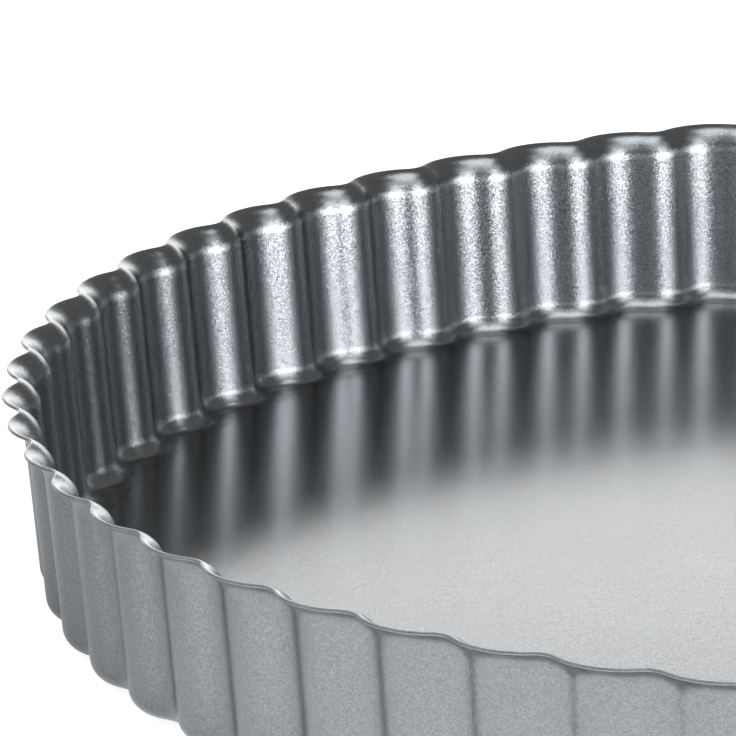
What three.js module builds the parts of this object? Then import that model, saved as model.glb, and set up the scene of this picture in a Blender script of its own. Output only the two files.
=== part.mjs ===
// Fluted tart pan with a loose base: a pressed sheet-steel ring and a flat disc that lifts out of it.
// Millimetres, +Z up. The origin is the centre of the face that the pan stands on.
import * as THREE from 'three';

// Driving dimensions of the ring
const FLUTE_COUNT = 60;
const RIM_DIAMETER = 280; // across the crests of the lip's edge
const FLOOR_DEPTH = 27.6; // lip's edge down to the upper face of the base
const SHEET = 0.5; // thickness of the ring's sheet
const FLUTE_DEPTH = 2; // ridge to crest, measured along the radius
const RIDGE_RADIUS = 6; // of the ridges that stand into the pan, on the wall's inside face
const WALL_TAPER = THREE.MathUtils.degToRad(4.5); // lean of the wall from upright
const LIP_RADIUS = 4.3; // upper face of the flared lip
const LIP_EDGE_RISE = THREE.MathUtils.degToRad(15); // slope that the lip still has at its edge
const FOOT_RADIUS = 2.8; // inside radius where the wall turns into the floor
const LEDGE_WIDTH = 1; // level floor left between the ridges' feet and the seat
const SEAT_WIDTH = 7; // flange that carries the base

// Driving dimensions of the loose base
const BASE_THICKNESS = 0.6;
const BASE_CLEARANCE = 0.12; // around the edge of the base
const BASE_EDGE_BREAK = 0.1; // chamfer on both edges of the base

// Fineness of the facets
const FACETS_PER_FLUTE = 6;
const FACETS_PER_PLAIN_PITCH = 2; // on the round seat and base, over the angle of one flute
const LIP_STEPS = 3;
const LIP_UNDERSIDE_STEPS = 2;
const FOOT_STEPS = 2;

// Levels, from the standing face up
const SEAT_LEVEL = SHEET;
const FLOOR_LEVEL = SEAT_LEVEL + BASE_THICKNESS;
const RIM_LEVEL = FLOOR_LEVEL + FLOOR_DEPTH;

// Radii, measured at the ridges
const RIM_RADIUS = RIM_DIAMETER / 2 - FLUTE_DEPTH;
const LIP_CENTRE = new THREE.Vector2(
  RIM_RADIUS + (LIP_RADIUS - SHEET) * Math.sin(LIP_EDGE_RISE),
  RIM_LEVEL - LIP_RADIUS * Math.cos(LIP_EDGE_RISE),
);
const WALL_TOP = onArc(LIP_CENTRE, LIP_RADIUS, Math.PI - WALL_TAPER);
const FOOT_TOP_LEVEL = FLOOR_LEVEL + FOOT_RADIUS * (1 - Math.sin(WALL_TAPER));
const FOOT_TOP_RADIUS = WALL_TOP.x - (WALL_TOP.y - FOOT_TOP_LEVEL) * Math.tan(WALL_TAPER);
const FOOT_CENTRE = new THREE.Vector2(
  FOOT_TOP_RADIUS - FOOT_RADIUS * Math.cos(WALL_TAPER),
  FLOOR_LEVEL + FOOT_RADIUS,
);
const SEAT_RADIUS = FOOT_CENTRE.x - LEDGE_WIDTH;
const BASE_RADIUS = SEAT_RADIUS - BASE_CLEARANCE;

const COATED_STEEL = { color: 0x6a6f78, roughness: 0.32, metalness: 0.9 };

function onArc(centre, radius, angle) {
  return new THREE.Vector2(centre.x + radius * Math.cos(angle), centre.y + radius * Math.sin(angle));
}

// How far the fluted sheet stands out from its ridge line, at a share of the pitch from a ridge.
// A ridge arc and a crest arc meet at the middle of each flank with a common tangent.
function fluteRise(share, pitch, ridgeRadius) {
  const halfPitch = pitch / 2;
  const fromRidge = Math.min(share, 1 - share) * pitch;
  const radiusSum = (halfPitch ** 2 + FLUTE_DEPTH ** 2) / (2 * FLUTE_DEPTH);
  const crestRadius = radiusSum - ridgeRadius;
  const flankStart = (ridgeRadius / radiusSum) * halfPitch;
  if (fromRidge <= flankStart) {
    return ridgeRadius - Math.sqrt(ridgeRadius ** 2 - fromRidge ** 2);
  }
  const fromCrest = halfPitch - fromRidge;
  return FLUTE_DEPTH - crestRadius + Math.sqrt(crestRadius ** 2 - fromCrest ** 2);
}

// Radius of the wall's inside face at a level, measured at the ridges.
function wallRadius(level) {
  return WALL_TOP.x + (level - WALL_TOP.y) * Math.tan(WALL_TAPER);
}

// One closed loop of points round the pan, with the flutes. It runs parallel to the wall's inside face,
// so the ridges are rounder at the foot and tighter on the outside face and at the lip's edge.
function flutedLoop(point) {
  const ridgeRadius = RIDGE_RADIUS - (point.x - wallRadius(point.y));
  const pitch = (2 * Math.PI * point.x) / FLUTE_COUNT;
  const count = FLUTE_COUNT * FACETS_PER_FLUTE;
  return Array.from({ length: count }, (_, step) => {
    const share = (step % FACETS_PER_FLUTE) / FACETS_PER_FLUTE;
    const radius = point.x + fluteRise(share, pitch, ridgeRadius);
    const angle = (2 * Math.PI * step) / count;
    return new THREE.Vector3(radius * Math.cos(angle), radius * Math.sin(angle), point.y);
  });
}

// One closed loop of points round the pan, on a plain circle.
function roundLoop(radius, level) {
  const count = FLUTE_COUNT * FACETS_PER_PLAIN_PITCH;
  return Array.from({ length: count }, (_, step) => {
    const angle = (2 * Math.PI * step) / count;
    return new THREE.Vector3(radius * Math.cos(angle), radius * Math.sin(angle), level);
  });
}

// Points along an arc of the ring's section, both ends included.
function arcPoints(centre, radius, fromAngle, toAngle, steps) {
  return Array.from({ length: steps + 1 }, (_, step) =>
    onArc(centre, radius, fromAngle + ((toAngle - fromAngle) * step) / steps));
}

// Joins each loop to the next, and the last to the first, into one closed skin.
// Neighbouring loops may have different numbers of points.
function loftLoops(loops) {
  const positions = [];
  const starts = [];
  for (const loop of loops) {
    starts.push(positions.length / 3);
    loop.forEach((point) => positions.push(point.x, point.y, point.z));
  }
  const triangles = [];
  loops.forEach((upper, index) => {
    const next = (index + 1) % loops.length;
    const lower = loops[next];
    const upperPoint = (step) => starts[index] + (step % upper.length);
    const lowerPoint = (step) => starts[next] + (step % lower.length);
    let onUpper = 0;
    let onLower = 0;
    while (onUpper < upper.length || onLower < lower.length) {
      if ((onUpper + 1) * lower.length <= (onLower + 1) * upper.length) {
        triangles.push(upperPoint(onUpper), upperPoint(onUpper + 1), lowerPoint(onLower));
        onUpper += 1;
      } else {
        triangles.push(upperPoint(onUpper), lowerPoint(onLower + 1), lowerPoint(onLower));
        onLower += 1;
      }
    }
  });
  const geometry = new THREE.BufferGeometry();
  geometry.setAttribute('position', new THREE.Float32BufferAttribute(positions, 3));
  geometry.setIndex(triangles);
  geometry.computeVertexNormals();
  return geometry;
}

// The ring: down the inside from the lip's edge to the seat, and back up the outside.
function flutedRing() {
  const lipEdge = Math.PI / 2 + LIP_EDGE_RISE;
  const down = -Math.PI / 2;
  const inside = [
    ...arcPoints(LIP_CENTRE, LIP_RADIUS, lipEdge, Math.PI - WALL_TAPER, LIP_STEPS),
    ...arcPoints(FOOT_CENTRE, FOOT_RADIUS, -WALL_TAPER, down, FOOT_STEPS),
  ];
  const outside = [
    ...arcPoints(FOOT_CENTRE, FOOT_RADIUS + SHEET, down, -WALL_TAPER, FOOT_STEPS),
    ...arcPoints(LIP_CENTRE, LIP_RADIUS - SHEET, Math.PI - WALL_TAPER, lipEdge, LIP_UNDERSIDE_STEPS),
  ];
  const seat = [
    roundLoop(SEAT_RADIUS, FLOOR_LEVEL),
    roundLoop(SEAT_RADIUS, SEAT_LEVEL),
    roundLoop(SEAT_RADIUS - SEAT_WIDTH, SEAT_LEVEL),
    roundLoop(SEAT_RADIUS - SEAT_WIDTH, SEAT_LEVEL - SHEET),
    roundLoop(SEAT_RADIUS + SHEET, SEAT_LEVEL - SHEET),
    roundLoop(SEAT_RADIUS + SHEET, FLOOR_LEVEL - SHEET),
  ];
  return loftLoops([
    ...inside.map(flutedLoop),
    ...seat,
    ...outside.map(flutedLoop),
  ]);
}

// The base: a flat disc with broken edges, which fills the seat flush with the floor.
function looseBase() {
  const profile = [
    new THREE.Vector2(0, SEAT_LEVEL),
    new THREE.Vector2(BASE_RADIUS - BASE_EDGE_BREAK, SEAT_LEVEL),
    new THREE.Vector2(BASE_RADIUS, SEAT_LEVEL + BASE_EDGE_BREAK),
    new THREE.Vector2(BASE_RADIUS, FLOOR_LEVEL - BASE_EDGE_BREAK),
    new THREE.Vector2(BASE_RADIUS - BASE_EDGE_BREAK, FLOOR_LEVEL),
    new THREE.Vector2(0, FLOOR_LEVEL),
  ];
  const geometry = new THREE.LatheGeometry(profile, FLUTE_COUNT * FACETS_PER_PLAIN_PITCH);
  return geometry.rotateX(Math.PI / 2);
}

function coatedPiece(name, geometry) {
  const mesh = new THREE.Mesh(geometry, new THREE.MeshStandardMaterial(COATED_STEEL));
  mesh.name = name;
  return mesh;
}

const pan = new THREE.Group();
pan.add(coatedPiece('fluted_ring', flutedRing()));
pan.add(coatedPiece('loose_base', looseBase()));

export default pan;
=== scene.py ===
"""Looks of the fluted cake pan: a smooth coated ring and its loose base, on a white studio table."""
import math

import bpy
from mathutils import Matrix, Vector


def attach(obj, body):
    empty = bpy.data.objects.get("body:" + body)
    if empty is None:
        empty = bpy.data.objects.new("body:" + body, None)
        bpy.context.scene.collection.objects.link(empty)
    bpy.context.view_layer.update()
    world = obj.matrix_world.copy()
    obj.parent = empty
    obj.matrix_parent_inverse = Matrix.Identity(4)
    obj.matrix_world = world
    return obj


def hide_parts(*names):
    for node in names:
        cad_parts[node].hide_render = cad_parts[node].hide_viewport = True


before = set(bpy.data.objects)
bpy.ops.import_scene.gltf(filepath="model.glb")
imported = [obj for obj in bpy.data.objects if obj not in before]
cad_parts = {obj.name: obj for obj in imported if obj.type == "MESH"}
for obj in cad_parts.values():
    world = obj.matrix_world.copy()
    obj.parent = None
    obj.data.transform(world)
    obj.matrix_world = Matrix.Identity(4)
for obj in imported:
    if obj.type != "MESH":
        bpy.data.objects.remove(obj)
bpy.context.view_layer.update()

MM = 0.001

# Ring, in metres, with the sizes of the pressed part
FLUTE_COUNT = 60
RIM_RADIUS = 138 * MM
FLUTE_DEPTH = 2 * MM
RIDGE_RADIUS = 6 * MM
SHEET = 0.5 * MM
WALL_TAPER = math.radians(4.5)
LIP_RADIUS = 4.3 * MM
LIP_EDGE_RISE = math.radians(15)
FOOT_RADIUS = 2.8 * MM
LEDGE_WIDTH = 1 * MM
SEAT_WIDTH = 7 * MM
FLOOR_DEPTH = 27.6 * MM

# Loose base
BASE_THICKNESS = 0.6 * MM
BASE_CLEARANCE = 0.04 * MM
BASE_EDGE_RADIUS = 0.03 * MM

# Levels and radii that follow, the radii at the ridges
SEAT_LEVEL = SHEET
FLOOR_LEVEL = SEAT_LEVEL + BASE_THICKNESS
RIM_LEVEL = FLOOR_LEVEL + FLOOR_DEPTH
LIP_CENTRE = (
    RIM_RADIUS + (LIP_RADIUS - SHEET) * math.sin(LIP_EDGE_RISE),
    RIM_LEVEL - LIP_RADIUS * math.cos(LIP_EDGE_RISE),
)
WALL_TOP_RADIUS = LIP_CENTRE[0] - LIP_RADIUS * math.cos(WALL_TAPER)
WALL_TOP_LEVEL = LIP_CENTRE[1] + LIP_RADIUS * math.sin(WALL_TAPER)
FOOT_TOP_LEVEL = FLOOR_LEVEL + FOOT_RADIUS * (1 - math.sin(WALL_TAPER))
FOOT_TOP_RADIUS = WALL_TOP_RADIUS - (WALL_TOP_LEVEL - FOOT_TOP_LEVEL) * math.tan(WALL_TAPER)
FOOT_CENTRE = (FOOT_TOP_RADIUS - FOOT_RADIUS * math.cos(WALL_TAPER), FLOOR_LEVEL + FOOT_RADIUS)
SEAT_RADIUS = FOOT_CENTRE[0] - LEDGE_WIDTH
BASE_RADIUS = SEAT_RADIUS - BASE_CLEARANCE

# Fineness of the smooth meshes
STEPS_PER_FLUTE = 32
LIP_STEPS = 12
FOOT_STEPS = 10
EDGE_STEPS = 6
BEND_MARGIN = 0.2 * MM
SHARP_ANGLE = math.radians(40)

# Coating: metal flake of two shades, duller on the wall, and with a clear coat over it on level faces
FLAKE_DARK = (0.18, 0.19, 0.2, 1)
FLAKE_LIGHT = (0.27, 0.288, 0.302, 1)
FLAKES_PER_METRE = 6000
WALL_FLAKE_TILT = 0.12
LEVEL_FLAKE_TILT = 0.05
TILT_MIDDLE = (0.5, 0.5, 0.5)
EDGE_TINT = (1, 1, 1, 1)
WALL_LEVELNESS = 0.3
WALL_ROUGHNESS = 0.32
LEVEL_ROUGHNESS = 0.24
PATCH_ROUGHNESS = 0.04
PATCHES_PER_METRE = 45
WALL_COAT = 0.0
LEVEL_COAT = 1.0
COAT_ROUGHNESS = 0.14

# Camera, from a fit to the scalloped rim
VIEW_LENS = 308.15
SENSOR_WIDTH = 36
VIEW_AZIMUTH = math.radians(-0.12)
VIEW_ELEVATION = math.radians(16.58)
VIEW_ROLL = math.radians(-1.062)
VIEW_DISTANCE = 6.336 * RIM_RADIUS
VIEW_RIGHT = 0.6468 * RIM_RADIUS
VIEW_UP = 0.0076 * RIM_RADIUS

# Stage: how far the table reaches, the white sheet behind the pan, how bright both look to the camera
# and in mirrors, and the shade that the table's mirror image falls into towards the back
TABLE_REACH = 9.0
BACKDROP_DISTANCE = 6.0
BACKDROP_LEFT = -9.0
BACKDROP_RIGHT = 3.5
BACKDROP_HEIGHT = 2.35
STAGE_WHITE = (0.7, 0.7, 0.7, 1)
TABLE_GLOW = {"seen": 0.8, "mirrored": 0.8}
BACKDROP_GLOW = {"seen": 1.0, "mirrored": 1.0}
SHADE = {"towards": (-0.3, 0.95, 0), "starts": -0.08, "ends": 0.04, "remains": 0.15}

# Light: a dim room, and softboxes given by the degrees that they cover as seen from the pan.
# Azimuth 0 is towards the camera's side, and 90 is to the right.
ROOM = (0.25, 0.25, 0.25, 1)
SOFTBOX_DISTANCE = 0.7
SOFTBOXES = {
    "key": {"azimuth": (22, 64), "elevation": (1, 12), "radiance": 22},
    "key_edge": {"azimuth": (64, 88), "elevation": (1, 16), "radiance": 3.5},
    "front": {"azimuth": (-40, 22), "elevation": (1, 16), "radiance": 1.4},
    "high": {"azimuth": (28, 56), "elevation": (20, 46), "radiance": 3.9},
    "overhead": {"azimuth": (0, 60), "elevation": (46, 72), "radiance": 1.1},
    "top": {"azimuth": (-18, 18), "elevation": (72, 108), "radiance": 2.3},
    "left": {"azimuth": (-150, -60), "elevation": (20, 70), "radiance": 0.8},
    "back": {"azimuth": (150, 210), "elevation": (6, 22), "radiance": 0.8},
}


def flute_rise(share, pitch, ridge_radius):
    """How far the sheet stands out from its ridge line, at a share of the pitch from a ridge."""
    half_pitch = pitch / 2
    from_ridge = min(share, 1 - share) * pitch
    radius_sum = (half_pitch ** 2 + FLUTE_DEPTH ** 2) / (2 * FLUTE_DEPTH)
    crest_radius = radius_sum - ridge_radius
    if from_ridge <= ridge_radius / radius_sum * half_pitch:
        return ridge_radius - math.sqrt(ridge_radius ** 2 - from_ridge ** 2)
    from_crest = half_pitch - from_ridge
    return FLUTE_DEPTH - crest_radius + math.sqrt(crest_radius ** 2 - from_crest ** 2)


def circle(radii, level):
    """Points at even angles round the axis, one for each radius."""
    turn = 2 * math.pi / len(radii)
    points = []
    for step, radius in enumerate(radii):
        angle = turn * step
        points.append((radius * math.cos(angle), radius * math.sin(angle), level))
    return points


def fluted_loop(point):
    """One closed loop of points round the pan, parallel to the fluted inside face of the wall."""
    radius, level = point
    wall_radius = WALL_TOP_RADIUS + (level - WALL_TOP_LEVEL) * math.tan(WALL_TAPER)
    ridge_radius = RIDGE_RADIUS - (radius - wall_radius)
    pitch = 2 * math.pi * radius / FLUTE_COUNT
    rises = [flute_rise(step / STEPS_PER_FLUTE, pitch, ridge_radius) for step in range(STEPS_PER_FLUTE)]
    return circle([radius + rise for rise in rises] * FLUTE_COUNT, level)


def round_loop(point):
    """One closed loop of points round the pan, on a plain circle."""
    radius, level = point
    return circle([radius] * STEPS_PER_FLUTE * FLUTE_COUNT, level)


def on_arc(centre, radius, angle):
    """One point of a section's arc, as radius and level."""
    return centre[0] + radius * math.cos(angle), centre[1] + radius * math.sin(angle)


def arc(centre, radius, start, end, steps):
    """Points of a section's arc, both ends included."""
    return [on_arc(centre, radius, start + (end - start) * step / steps) for step in range(steps + 1)]


def straight(start, end):
    """Two points close to the ends of a straight run, which keep the bends' shading off it."""
    margin = BEND_MARGIN / math.dist(start, end)
    return [tuple(a + (b - a) * share for a, b in zip(start, end)) for share in (margin, 1 - margin)]


def skin(name, loops, closed):
    """A skin through the loops. Closed, its last loop joins the first; otherwise flat fans end it."""
    count = len(loops[0])
    vertices = [point for points in loops for point in points]
    faces = []
    for row in range(len(loops) if closed else len(loops) - 1):
        here = row * count
        following = (row + 1) % len(loops) * count
        for step in range(count):
            after = (step + 1) % count
            faces.append((here + step, here + after, following + after, following + step))
    if not closed:
        for start, order in ((0, -1), (len(vertices) - count, 1)):
            rim = range(start, start + count)[::order]
            centre = len(vertices)
            vertices.append((0, 0, vertices[start][2]))
            faces += [(rim[step - 1], rim[step], centre) for step in range(count)]
    mesh = bpy.data.meshes.new(name)
    mesh.from_pydata(vertices, [], faces)
    mesh.shade_smooth()
    mesh.set_sharp_from_angle(angle=SHARP_ANGLE)
    piece = bpy.data.objects.new(name, mesh)
    bpy.context.scene.collection.objects.link(piece)
    return piece


def build_ring():
    """The fluted ring: round the lip's edge, down the inside to the seat, and back up the outside."""
    down = -math.pi / 2
    wall = math.pi - WALL_TAPER
    lip_end = math.pi / 2 + LIP_EDGE_RISE + SHEET / 2 / (LIP_RADIUS - SHEET / 2)
    edge_centre = on_arc(LIP_CENTRE, LIP_RADIUS - SHEET / 2, lip_end)
    edge = arc(edge_centre, SHEET / 2, lip_end - math.pi, lip_end, EDGE_STEPS)
    lip = arc(LIP_CENTRE, LIP_RADIUS, lip_end, wall, LIP_STEPS)
    foot = arc(FOOT_CENTRE, FOOT_RADIUS, -WALL_TAPER, down, FOOT_STEPS)
    ledge = [(FOOT_CENTRE[0] - BEND_MARGIN, FLOOR_LEVEL)]
    seat = [
        (SEAT_RADIUS, FLOOR_LEVEL),
        (SEAT_RADIUS, SEAT_LEVEL),
        (SEAT_RADIUS - SEAT_WIDTH, SEAT_LEVEL),
        (SEAT_RADIUS - SEAT_WIDTH, SEAT_LEVEL - SHEET),
        (SEAT_RADIUS + SHEET, SEAT_LEVEL - SHEET),
        (SEAT_RADIUS + SHEET, FLOOR_LEVEL - SHEET),
    ]
    foot_back = arc(FOOT_CENTRE, FOOT_RADIUS + SHEET, down, -WALL_TAPER, FOOT_STEPS)
    lip_back = arc(LIP_CENTRE, LIP_RADIUS - SHEET, wall, lip_end, LIP_STEPS)
    inside = edge[1:-1] + lip + straight(lip[-1], foot[0]) + foot + ledge
    outside = foot_back + straight(foot_back[-1], lip_back[0]) + lip_back
    loops = [fluted_loop(point) for point in inside]
    loops += [round_loop(point) for point in seat]
    loops += [fluted_loop(point) for point in outside]
    return skin("ring_skin", loops, closed=True)


def build_base():
    """The loose base: a thin disc with rounded edges."""
    edge_radius = BASE_RADIUS - BASE_EDGE_RADIUS
    low_centre = (edge_radius, SEAT_LEVEL + BASE_EDGE_RADIUS)
    high_centre = (edge_radius, FLOOR_LEVEL - BASE_EDGE_RADIUS)
    low_edge = arc(low_centre, BASE_EDGE_RADIUS, -math.pi / 2, 0, EDGE_STEPS)
    high_edge = arc(high_centre, BASE_EDGE_RADIUS, 0, math.pi / 2, EDGE_STEPS)
    flat_radius = edge_radius - BEND_MARGIN
    section = [(flat_radius, SEAT_LEVEL)] + low_edge + high_edge + [(flat_radius, FLOOR_LEVEL)]
    return skin("base_skin", [round_loop(point) for point in section], closed=False)


def empty_material(name):
    """A material that has no nodes yet, its list of nodes, and what links them."""
    material = bpy.data.materials.new(name)
    material.use_nodes = True
    material.node_tree.nodes.clear()
    return material, material.node_tree.nodes, material.node_tree.links.new


def coated_steel(name):
    """Dark grey coating of fine tilted metal flake, with a clear coat over it on level faces."""
    material, nodes, link = empty_material(name)
    metal = nodes.new("ShaderNodeBsdfMetallic")
    metal.distribution = "BECKMANN"
    metal.inputs["Edge Tint"].default_value = EDGE_TINT
    coat = nodes.new("ShaderNodeBsdfAnisotropic")
    coat.distribution = "GGX"
    coat.inputs["Roughness"].default_value = COAT_ROUGHNESS
    layers = nodes.new("ShaderNodeMixShader")
    output = nodes.new("ShaderNodeOutputMaterial")
    link(metal.outputs["BSDF"], layers.inputs[1])
    link(coat.outputs["BSDF"], layers.inputs[2])
    link(layers.outputs["Shader"], output.inputs["Surface"])

    place = nodes.new("ShaderNodeTexCoord")
    level = levelness(nodes, link, place)
    add_flake(nodes, link, place, level, metal)

    smoothing = ranged(nodes, link, level, WALL_ROUGHNESS, LEVEL_ROUGHNESS)
    patches = nodes.new("ShaderNodeTexNoise")
    patches.inputs["Scale"].default_value = PATCHES_PER_METRE
    uneven = nodes.new("ShaderNodeMath")
    uneven.operation = "MULTIPLY_ADD"
    uneven.inputs[1].default_value = PATCH_ROUGHNESS
    link(place.outputs["Object"], patches.inputs["Vector"])
    link(patches.outputs["Fac"], uneven.inputs[0])
    link(smoothing, uneven.inputs[2])
    link(uneven.outputs["Value"], metal.inputs["Roughness"])

    thickness = ranged(nodes, link, level, WALL_COAT, LEVEL_COAT)
    sheen = nodes.new("ShaderNodeFresnel")
    covered = nodes.new("ShaderNodeMath")
    covered.operation = "MULTIPLY"
    link(sheen.outputs["Fac"], covered.inputs[0])
    link(thickness, covered.inputs[1])
    link(covered.outputs["Value"], layers.inputs[0])
    return material


def levelness(nodes, link, place):
    """0 on upright faces and 1 on level ones."""
    parts = nodes.new("ShaderNodeSeparateXYZ")
    level = nodes.new("ShaderNodeMath")
    level.operation = "ABSOLUTE"
    link(place.outputs["Normal"], parts.inputs["Vector"])
    link(parts.outputs["Z"], level.inputs[0])
    return level.outputs["Value"]


def ranged(nodes, link, level, wall_value, level_value):
    """A value that goes from the wall's to that of level faces."""
    span = nodes.new("ShaderNodeMapRange")
    span.inputs["From Min"].default_value = WALL_LEVELNESS
    span.inputs["To Min"].default_value = wall_value
    span.inputs["To Max"].default_value = level_value
    link(level, span.inputs["Value"])
    return span.outputs["Result"]


def add_flake(nodes, link, place, level, metal):
    """Metal flake of two shades, each flake slightly tilted."""
    flake = nodes.new("ShaderNodeTexVoronoi")
    flake.inputs["Scale"].default_value = FLAKES_PER_METRE
    link(place.outputs["Object"], flake.inputs["Vector"])

    pick = nodes.new("ShaderNodeSeparateColor")
    shade = nodes.new("ShaderNodeMix")
    shade.data_type = "RGBA"
    shade.inputs["A"].default_value = FLAKE_DARK
    shade.inputs["B"].default_value = FLAKE_LIGHT
    link(flake.outputs["Color"], pick.inputs["Color"])
    link(pick.outputs["Red"], shade.inputs["Factor"])
    link(shade.outputs["Result"], metal.inputs["Base Color"])

    centred = nodes.new("ShaderNodeVectorMath")
    centred.operation = "SUBTRACT"
    centred.inputs[1].default_value = TILT_MIDDLE
    lean = nodes.new("ShaderNodeVectorMath")
    lean.operation = "SCALE"
    surface = nodes.new("ShaderNodeNewGeometry")
    tilted = nodes.new("ShaderNodeVectorMath")
    tilted.operation = "ADD"
    facing = nodes.new("ShaderNodeVectorMath")
    facing.operation = "NORMALIZE"
    link(flake.outputs["Color"], centred.inputs[0])
    link(centred.outputs["Vector"], lean.inputs[0])
    link(ranged(nodes, link, level, WALL_FLAKE_TILT, LEVEL_FLAKE_TILT), lean.inputs["Scale"])
    link(surface.outputs["Normal"], tilted.inputs[0])
    link(lean.outputs["Vector"], tilted.inputs[1])
    link(tilted.outputs["Vector"], facing.inputs[0])
    link(facing.outputs["Vector"], metal.inputs["Normal"])


def studio_white(name, seen, mirrored, shade=None):
    """A white surface that glows for the camera and in reflections, and still takes shadows.

    Its reflection fades out towards the shade, where one is given, and its back is clear.
    """
    material, nodes, link = empty_material(name)
    matte = nodes.new("ShaderNodeBsdfDiffuse")
    matte.inputs["Color"].default_value = STAGE_WHITE
    path = nodes.new("ShaderNodeLightPath")
    reflected = nodes.new("ShaderNodeMath")
    reflected.operation = "MAXIMUM"
    dimmed = nodes.new("ShaderNodeMath")
    dimmed.operation = "MULTIPLY"
    dimmed.inputs[1].default_value = mirrored
    strength = nodes.new("ShaderNodeMath")
    strength.operation = "MULTIPLY_ADD"
    strength.inputs[1].default_value = seen
    glow = nodes.new("ShaderNodeEmission")
    both = nodes.new("ShaderNodeAddShader")
    side = nodes.new("ShaderNodeNewGeometry")
    clear = nodes.new("ShaderNodeBsdfTransparent")
    one_sided = nodes.new("ShaderNodeMixShader")
    output = nodes.new("ShaderNodeOutputMaterial")
    link(path.outputs["Is Glossy Ray"], reflected.inputs[0])
    link(path.outputs["Is Transmission Ray"], reflected.inputs[1])
    link(reflected.outputs["Value"], dimmed.inputs[0])
    link(path.outputs["Is Camera Ray"], strength.inputs[0])
    reflection = dimmed.outputs["Value"]
    if shade:
        reflection = faded(nodes, link, reflection, **shade)
    link(reflection, strength.inputs[2])
    link(strength.outputs["Value"], glow.inputs["Strength"])
    link(matte.outputs["BSDF"], both.inputs[0])
    link(glow.outputs["Emission"], both.inputs[1])
    link(side.outputs["Backfacing"], one_sided.inputs[0])
    link(both.outputs["Shader"], one_sided.inputs[1])
    link(clear.outputs["BSDF"], one_sided.inputs[2])
    link(one_sided.outputs["Shader"], output.inputs["Surface"])
    return material


def faded(nodes, link, value, towards, starts, ends, remains):
    """A value that falls in one direction, from all of it at the start to the share that remains."""
    spot = nodes.new("ShaderNodeNewGeometry")
    along = nodes.new("ShaderNodeVectorMath")
    along.operation = "DOT_PRODUCT"
    along.inputs[1].default_value = towards
    fall = nodes.new("ShaderNodeMapRange")
    fall.interpolation_type = "SMOOTHSTEP"
    fall.inputs["From Min"].default_value = starts
    fall.inputs["From Max"].default_value = ends
    fall.inputs["To Min"].default_value = 1.0
    fall.inputs["To Max"].default_value = remains
    product = nodes.new("ShaderNodeMath")
    product.operation = "MULTIPLY"
    link(spot.outputs["Position"], along.inputs[0])
    link(along.outputs["Value"], fall.inputs["Value"])
    link(value, product.inputs[0])
    link(fall.outputs["Result"], product.inputs[1])
    return product.outputs["Value"]


def flat_sheet(name, corners, material):
    """A four-cornered sheet of the stage."""
    mesh = bpy.data.meshes.new(name)
    mesh.from_pydata(corners, [], [(0, 1, 2, 3)])
    mesh.materials.append(material)
    sheet = bpy.data.objects.new(name, mesh)
    bpy.context.scene.collection.objects.link(sheet)


def make_stage():
    """The table under the pan, and the backdrop behind it."""
    reach = TABLE_REACH
    left = BACKDROP_LEFT
    right = BACKDROP_RIGHT
    back = BACKDROP_DISTANCE
    top = BACKDROP_HEIGHT
    table = [(-reach, -reach, 0), (reach, -reach, 0), (reach, reach, 0), (-reach, reach, 0)]
    backdrop = [(left, back, 0), (right, back, 0), (right, back, top), (left, back, top)]
    flat_sheet("table", table, studio_white("table_white", shade=SHADE, **TABLE_GLOW))
    flat_sheet("backdrop", backdrop, studio_white("backdrop_white", **BACKDROP_GLOW))


def width_over(angles):
    """How wide a softbox has to be to cover a range of degrees as seen from the pan."""
    return 2 * SOFTBOX_DISTANCE * math.tan(math.radians(angles[1] - angles[0]) / 2)


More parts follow.
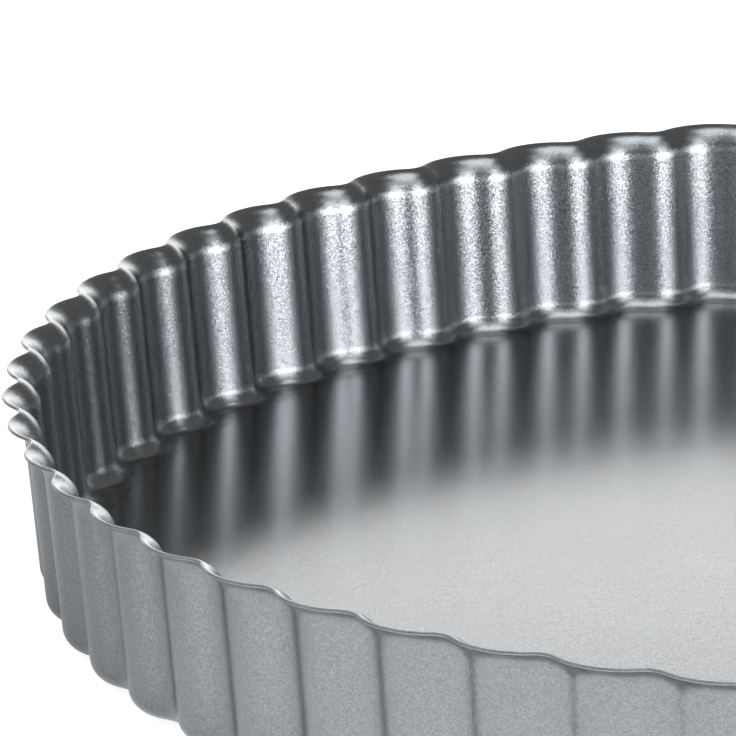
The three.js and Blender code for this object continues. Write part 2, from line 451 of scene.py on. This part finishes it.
def softbox(name, azimuth, elevation, radiance):
    """A rectangle of light that faces the pan and covers the given angles as seen from it."""
    across = math.radians(sum(azimuth) / 2)
    above = math.radians(sum(elevation) / 2)
    level = math.cos(above)
    outwards = Vector((level * math.sin(across), -level * math.cos(across), math.sin(above)))
    light = bpy.data.lights.new(name, "AREA")
    light.shape = "RECTANGLE"
    light.size = width_over(azimuth)
    light.size_y = width_over(elevation)
    light.energy = radiance * math.pi * light.size * light.size_y
    box = bpy.data.objects.new(name, light)
    box.location = SOFTBOX_DISTANCE * outwards
    box.rotation_euler = (-outwards).to_track_quat("-Z", "Y").to_euler()
    box.visible_camera = False
    bpy.context.scene.collection.objects.link(box)


def make_lights():
    """The dim room, and the softboxes round the pan."""
    world = bpy.data.worlds.new("studio")
    world.use_nodes = True
    world.node_tree.nodes["Background"].inputs["Color"].default_value = ROOM
    bpy.context.scene.world = world
    for name, cover in SOFTBOXES.items():
        softbox(name, **cover)


def make_camera():
    """A long lens on the pan's left half, placed by the fit."""
    turn = Matrix.Rotation(VIEW_AZIMUTH, 3, "Z")
    forward = turn @ Vector((0, math.cos(VIEW_ELEVATION), -math.sin(VIEW_ELEVATION)))
    level_up = turn @ Vector((0, math.sin(VIEW_ELEVATION), math.cos(VIEW_ELEVATION)))
    level_right = turn @ Vector((1, 0, 0))
    right = math.cos(VIEW_ROLL) * level_right + math.sin(VIEW_ROLL) * level_up
    up = math.cos(VIEW_ROLL) * level_up - math.sin(VIEW_ROLL) * level_right
    rim_centre = Vector((0, 0, RIM_LEVEL))
    place = rim_centre - VIEW_RIGHT * right - VIEW_UP * up - VIEW_DISTANCE * forward
    axes = Matrix((right, up, -forward)).transposed()
    camera = bpy.data.objects.new("camera", bpy.data.cameras.new("camera"))
    camera.data.lens = VIEW_LENS
    camera.data.sensor_width = SENSOR_WIDTH
    camera.matrix_world = Matrix.Translation(place) @ axes.to_4x4()
    bpy.context.scene.collection.objects.link(camera)
    bpy.context.scene.camera = camera


def dress(piece, body, node, slot):
    """Coat a piece, and let it ride on its body in the place of its solid."""
    piece.data.materials.append(coated_steel(slot))
    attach(piece, body)
    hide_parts(node)


make_camera()
make_stage()
make_lights()
dress(build_ring(), "ring", "fluted_ring", "ring_coating")
dress(build_base(), "base", "loose_base", "base_coating")
bpy.context.scene.view_settings.view_transform = "Standard"
